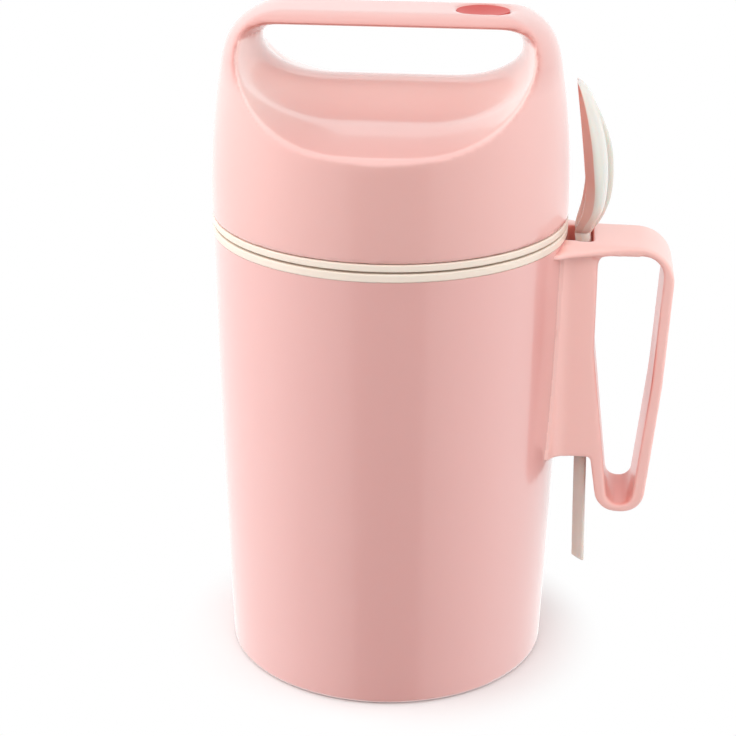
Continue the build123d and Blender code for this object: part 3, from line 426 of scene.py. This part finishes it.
# Of each pair, the first is the stem's value and the second the bowl's. The hollow's depth is a
# share of the section's.
RIM_BAND, EDGE_ROUND, HOLLOW_DEPTH = (2.4, 3.0), (0.6, 1.5), (0.48, 0.75)
HOLLOW_POWER, BACK_POWER = (5.0, 2.2), (6.0, 2.3)        # 2 is an ellipse, and more is squarer
BAND_SHARE, ROUND_SHARE, LIP_SHARE, LIP_EDGE = 0.42, 0.3, 0.85, 0.5
BAND_TURN, EDGE_TURN = 0.92, 0.08        # where the outer edge turns into the back
RIDGE, RIDGE_SHARE, RIDGE_INNER, RIDGE_SLOPE = 1.5, 0.35, 0.75, 0.35     # the rib on the back
RIDGE_FOOT, RIDGE_ROOM = 0.25, 0.9       # from the rib's side to its foot and to the next point
HOLLOW_STEPS, BACK_STEPS = 8, 12
RIM_LINE = ((-116, -2.1), (-9, -2.1), (-4, -2.7), (1, -3.5), (3, -3.2), (8.7, -1.35), (16.4, -0.4),
            (27, -1.05), (40, -2.4), (51, -3.85))
CREST_LINE = ((-116, -9), (-2, 0.5), (0.6, 1.9), (6, 5.4), (12.5, 7.75), (21, 8.4), (30.5, 7.3),
              (41.5, 2.9), (47, -1.2), (51, -4.4))
SMOOTH_ANGLE = radians(50)


def along(line, h):
    """Value at h of the smooth curve through (h, value) points."""
    last = len(line) - 1
    k = clamp(sum(1 for p in line if p[0] <= h) - 1, 0, last - 1)
    slopes = []
    for j in (k, k + 1):
        a, b = line[max(j - 1, 0)], line[min(j + 1, last)]
        slopes.append((b[1] - a[1]) / (b[0] - a[0]))
    (h0, v0), (h1, v1) = line[k], line[k + 1]
    step = h1 - h0
    t = clamp((h - h0) / step)
    return (v0 * (1 + 2 * t) * (1 - t) ** 2 + slopes[0] * step * t * (1 - t) ** 2
            + v1 * t * t * (3 - 2 * t) + slopes[1] * step * t * t * (t - 1))


def spoon_section(h):
    """Half outline of the spoon across its length at h, from the hollow's middle to the back's."""
    reach = sqrt((EGG_DEPTH * sin(EGG_TILT)) ** 2 + (EGG_LENGTH * cos(EGG_TILT)) ** 2)
    t = (h - EGG_MIDDLE[1]) / reach
    size = sqrt(max(1 - t * t, 0.0))
    lean = (EGG_LENGTH ** 2 - EGG_DEPTH ** 2) * sin(EGG_TILT) * cos(EGG_TILT) / reach
    egg_back = EGG_MIDDLE[0] - lean * t + EGG_DEPTH * EGG_LENGTH / reach * size
    u = clamp((h - BOWL_START) / BOWL_RUN)
    bowl = u * u * (3 - 2 * u)

    def between(stem_value, bowl_value):
        return stem_value + (bowl_value - stem_value) * bowl

    left = along(RIM_LINE, h)
    right = max(between(STEM_DEPTH / 2, egg_back), left + LEAST)
    side = max(between(STEM_SIDE, EGG_SIDE * EGG_FIT * size), LEAST)
    band = min(between(*RIM_BAND), BAND_SHARE * (right - left))
    edge = side - min(between(*EDGE_ROUND), ROUND_SHARE * side)
    lip = min(between(STEM_GROOVE, edge - LIP_EDGE), edge * LIP_SHARE)
    floor_x = left + (right - left) * between(*HOLLOW_DEPTH)
    floor_x = max(floor_x, right - SPOON_WALL) if bowl > BOWL_FULL else floor_x
    power_in, power_out = between(*HOLLOW_POWER), between(*BACK_POWER)
    half = []
    for k in range(HOLLOW_STEPS + 1):
        turn = pi / 2 * k / HOLLOW_STEPS
        half.append((left + (floor_x - left) * max(cos(turn), 0) ** (2 / power_in),
                     lip * sin(turn) ** (2 / power_in)))
    half += [(left, edge), (left + BAND_TURN * band, side - EDGE_TURN * (side - edge))]
    ridge = min(RIDGE, RIDGE_SHARE * side)
    across = [side * cos(pi / 2 * k / BACK_STEPS) ** (2 / power_out) for k in range(BACK_STEPS - 1)]
    across = [max(y, ridge + RIDGE_ROOM) for y in across]
    across += [ridge + RIDGE_FOOT, ridge, ridge * RIDGE_INNER, 0.0]
    crest = along(CREST_LINE, h)
    for y in across:
        round_out = max(1 - (y / side) ** power_out, 0) ** (1 / power_out)
        x = left + band + (right - left - band) * round_out
        half.append((max(x, crest - RIDGE_SLOPE * (y == ridge)) if y <= ridge else x, y))
    return half


RIM_POINT = HOLLOW_STEPS + 2             # the last point of a half outline that is on the rim
# Shares of the painted pink, light bounced from the jar: on the rim and hollow, the band, the stem
RIM_PAINTED_PINK, RIM_PAINTED_PINK_RISE, RIM_PAINTED_PINK_RUN, BAND_PAINTED_PINK = 0.45, 0.5, 22, 0.1
STEM_PAINTED_PINK, STEM_PAINTED_PINK_RISE, STEM_PAINTED_PINK_TOP = 0.15, 0.4, -20
STEM_PAINTED_PINK_END, STEM_PAINTED_PINK_RUN = 10, 16    # the height at which it is gone, and the run down from it


def spoon_painted_pink(h, k):
    """How much painted pink, for light bounced from the jar, point k at h gets: the rim and hollow
    most, the stem partly.
    """
    if k <= RIM_POINT and h > 0:
        return RIM_PAINTED_PINK + RIM_PAINTED_PINK_RISE * clamp(h / RIM_PAINTED_PINK_RUN)
    stem = clamp((STEM_PAINTED_PINK_END - h) / STEM_PAINTED_PINK_RUN)
    low = clamp((h - STEM_FOOT) / (STEM_PAINTED_PINK_TOP - STEM_FOOT))
    shade = stem * (STEM_PAINTED_PINK + STEM_PAINTED_PINK_RISE * low)
    return max(shade, BAND_PAINTED_PINK) if k == RIM_POINT + 1 else shade


# The sections lie wide apart on the stem, close at the neck, and closer still towards the tip.
NECK_START, NECK_END = -8, 16
STEM_RINGS, NECK_RINGS, BOWL_RINGS = 12, 24, 34
heights = [STEM_FOOT + (NECK_START - STEM_FOOT) * k / STEM_RINGS for k in range(STEM_RINGS)]
heights += [NECK_START + (NECK_END - NECK_START) * k / NECK_RINGS for k in range(NECK_RINGS)]
heights += [NECK_END + (SPOON_TIP - NECK_END) * sin(pi / 2 * k / BOWL_RINGS)
            for k in range(BOWL_RINGS + 1)]

shape = bmesh.new()
painted_pink_layer = shape.verts.layers.float.new("painted_light_and_shade")
rings = []
for h in heights:
    half = spoon_section(h)
    ring = []
    for k, (x, y) in enumerate(half + [(x, -y) for x, y in half[-2:0:-1]]):
        rise = h + (STEM_CUT * (STEM_DEPTH / 2 - x) / STEM_DEPTH if h == STEM_FOOT else 0)
        corner = shape.verts.new((
            (SPOON_ROOT[0] + x * cos(SPOON_LEAN) - rise * sin(SPOON_LEAN)) * MM, y * MM,
            (SPOON_ROOT[1] + rise * cos(SPOON_LEAN) + x * sin(SPOON_LEAN)) * MM,
        ))
        corner[painted_pink_layer] = spoon_painted_pink(h, min(k, 2 * len(half) - 2 - k))
        ring.append(corner)
    rings.append(ring)
count = len(rings[0])
for low, high in zip(rings, rings[1:]):
    for k in range(count):
        shape.faces.new((low[k], low[(k + 1) % count], high[(k + 1) % count], high[k]))
shape.faces.new(rings[0][::-1])
shape.faces.new(rings[-1])
bmesh.ops.recalc_face_normals(shape, faces=shape.faces)
spoon_mesh = bpy.data.meshes.new("spoon_moulding")
shape.to_mesh(spoon_mesh)
shape.free()
spoon = new_piece("spoon_moulding", spoon_mesh, spoon_plastic)
pick(spoon)
bpy.ops.object.shade_smooth_by_angle(angle=SMOOTH_ANGLE)
# Plastic this thin lets the lamps' light through, and the lid's gloss shows the white behind it.
spoon.visible_shadow = False
spoon.visible_glossy = False
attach(spoon, "spoon")
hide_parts("spoon")

# ---- Floor ------------------------------------------------------------------------------------
# Painted studio floor: matt white paint that keeps the jar's shadow and runs out to plain white.
# What it throws back at the jar is duller than what the camera sees.
SHADOW_REACH, WHITE_REACH = 0.051, 0.077  # from the axis: paint to the first, white from the second
FLOOR_SIZE, FLOOR_DROP = 12.0, 0.0003    # it lies just under the jar, so that the two don't flicker

floor_material, floor_tree = new_material("painted_studio_floor")
floor_place = node(floor_tree, "ShaderNodeTexCoord").outputs["Object"]
floor_reach = node(floor_tree, "ShaderNodeVectorMath", {0: floor_place}, operation="LENGTH")
floor_fade = node(
    floor_tree, "ShaderNodeMapRange",
    {"Value": floor_reach.outputs["Value"], "From Min": SHADOW_REACH, "From Max": WHITE_REACH},
    interpolation_type="SMOOTHSTEP",
)
floor_paint = node(floor_tree, "ShaderNodeBsdfPrincipled",
                   {"Base Color": srgb("#F4F4F4"), "Roughness": 0.6})
floor_dull = node(floor_tree, "ShaderNodeBsdfPrincipled",
                  {"Base Color": srgb("#C4C4C4"), "Roughness": 0.8})
floor_white = node(floor_tree, "ShaderNodeEmission", {"Color": srgb("#FFFFFF"), "Strength": 1.0})
floor_seen = node(floor_tree, "ShaderNodeMixShader", {
    0: floor_fade.outputs["Result"], 1: floor_paint.outputs["BSDF"], 2: floor_white.outputs[0],
})
floor_rays = node(floor_tree, "ShaderNodeLightPath")
floor_look = node(floor_tree, "ShaderNodeMixShader", {
    0: floor_rays.outputs["Is Camera Ray"], 1: floor_dull.outputs["BSDF"],
    2: floor_seen.outputs[0],
})
node(floor_tree, "ShaderNodeOutputMaterial", {"Surface": floor_look.outputs[0]})
bpy.ops.object.select_all(action="DESELECT")
bpy.ops.mesh.primitive_plane_add(size=FLOOR_SIZE, location=(0, 0, -FLOOR_DROP))
floor = bpy.context.object
floor.name = "floor"
floor.data.materials.append(floor_material)
floor.visible_glossy = False             # the gloss mirrors the studio around the jar instead

# ---- Studio around the jar --------------------------------------------------------------------
# The gloss mirrors two white walls of the studio with a dark gap between them, which lies behind
# the camera, and a pale ceiling. The camera sees plain white.
AMBIENT = 0.48
GAP_WAY, GAP_HALF, GAP_EDGE, WALLS_FULL = radians(5), radians(24), radians(2.5), radians(85)
GAP_GLOW, WALL_GLOW, WALL_RISE = 0.03, 0.45, 0.75
CEILING_START, CEILING_FULL, CEILING_GLOW = 0.15, 0.6, 1.5   # the first two are sines of heights

world = bpy.data.worlds.new("studio")
bpy.context.scene.world = world
world.use_nodes = True
sky = world.node_tree
sky.nodes.clear()
rays = node(sky, "ShaderNodeLightPath")
way = node(sky, "ShaderNodeSeparateXYZ",
           {0: node(sky, "ShaderNodeTexCoord").outputs["Generated"]})
front = node(sky, "ShaderNodeMath", {0: way.outputs["Y"], 1: -1.0}, operation="MULTIPLY")
azimuth = node(sky, "ShaderNodeMath", {0: way.outputs["X"], 1: front.outputs[0]},
               operation="ARCTAN2")
offset = node(sky, "ShaderNodeMath", {0: azimuth.outputs[0], 1: GAP_WAY}, operation="SUBTRACT")
away = node(sky, "ShaderNodeMath", {0: offset.outputs[0]}, operation="ABSOLUTE")
wall_edge = node(
    sky, "ShaderNodeMapRange",
    {"Value": away.outputs[0], "From Min": GAP_HALF - GAP_EDGE, "From Max": GAP_HALF + GAP_EDGE,
     "To Min": GAP_GLOW, "To Max": WALL_GLOW}, interpolation_type="SMOOTHSTEP",
)
wall_rise = node(
    sky, "ShaderNodeMapRange",
    {"Value": away.outputs[0], "From Min": GAP_HALF, "From Max": WALLS_FULL, "To Max": WALL_RISE},
)
walls = node(sky, "ShaderNodeMath", {0: wall_edge.outputs[0], 1: wall_rise.outputs[0]},
             operation="ADD")
ceiling = node(
    sky, "ShaderNodeMapRange",
    {"Value": way.outputs["Z"], "From Min": CEILING_START, "From Max": CEILING_FULL,
     "To Max": CEILING_GLOW},
)
mirrored = node(sky, "ShaderNodeMath", {0: walls.outputs[0], 1: ceiling.outputs[0]},
                operation="MAXIMUM")
dim = node(sky, "ShaderNodeBackground", {"Color": srgb("#FFFFFF"), "Strength": AMBIENT})
sheen = node(sky, "ShaderNodeBackground",
             {"Color": srgb("#FFFFFF"), "Strength": mirrored.outputs[0]})
white = node(sky, "ShaderNodeBackground", {"Color": srgb("#FFFFFF"), "Strength": 1.0})
lighting = node(sky, "ShaderNodeMixShader",
                {0: rays.outputs["Is Glossy Ray"], 1: dim.outputs[0], 2: sheen.outputs[0]})
studio = node(sky, "ShaderNodeMixShader",
              {0: rays.outputs["Is Camera Ray"], 1: lighting.outputs[0], 2: white.outputs[0]})
node(sky, "ShaderNodeOutputWorld", {"Surface": studio.outputs[0]})


# ---- Lamps ------------------------------------------------------------------------------------
def softbox(name, place, aim, width, height, watts):
    """A rectangular area lamp, turned to its aim. The gloss mirrors the studio, not the lamp."""
    lamp = bpy.data.lights.new(name, "AREA")
    lamp.shape = "RECTANGLE"
    lamp.size, lamp.size_y, lamp.energy = width, height, watts
    item = bpy.data.objects.new(name, lamp)
    bpy.context.scene.collection.objects.link(item)
    item.location = place
    item.rotation_euler = (Vector(aim) - Vector(place)).to_track_quat("-Z", "Y").to_euler()
    item.visible_glossy = False


softbox("left_box", (-1.15, 0.1, 0.5), (0, 0, 0.12), width=1.5, height=1.2, watts=14.5)
softbox("right_box", (1.15, 0.05, 0.45), (0, 0, 0.12), width=1.0, height=1.2, watts=7.4)
softbox("top_box", (0.0, -0.8, 1.0), (0, 0, 0.15), width=1.2, height=1.2, watts=7.0)
softbox("front_box", (0.2, -1.45, 0.65), (0, 0, 0.15), width=1.2, height=0.8, watts=1.0)

# ---- Camera -----------------------------------------------------------------------------------
SENSOR_WIDTH, LENS = 36.0, 97.55
CAMERA_PLACE = (54.5, -622.6, 345.2)
CAMERA_TURN, CAMERA_TILT, CAMERA_ROLL = radians(5.652), radians(68.426), radians(0.269)

camera = bpy.data.cameras.new("camera")
camera.sensor_width, camera.lens = SENSOR_WIDTH, LENS
view = bpy.data.objects.new("camera", camera)
bpy.context.scene.collection.objects.link(view)
view.matrix_world = (
    Matrix.Translation([c * MM for c in CAMERA_PLACE]) @ Matrix.Rotation(CAMERA_TURN, 4, "Z")
    @ Matrix.Rotation(CAMERA_TILT, 4, "X") @ Matrix.Rotation(CAMERA_ROLL, 4, "Z")
)
bpy.context.scene.camera = view
bpy.context.scene.view_settings.view_transform = "Standard"

# ---- Scene update -----------------------------------------------------------------------------
bpy.context.view_layer.update()
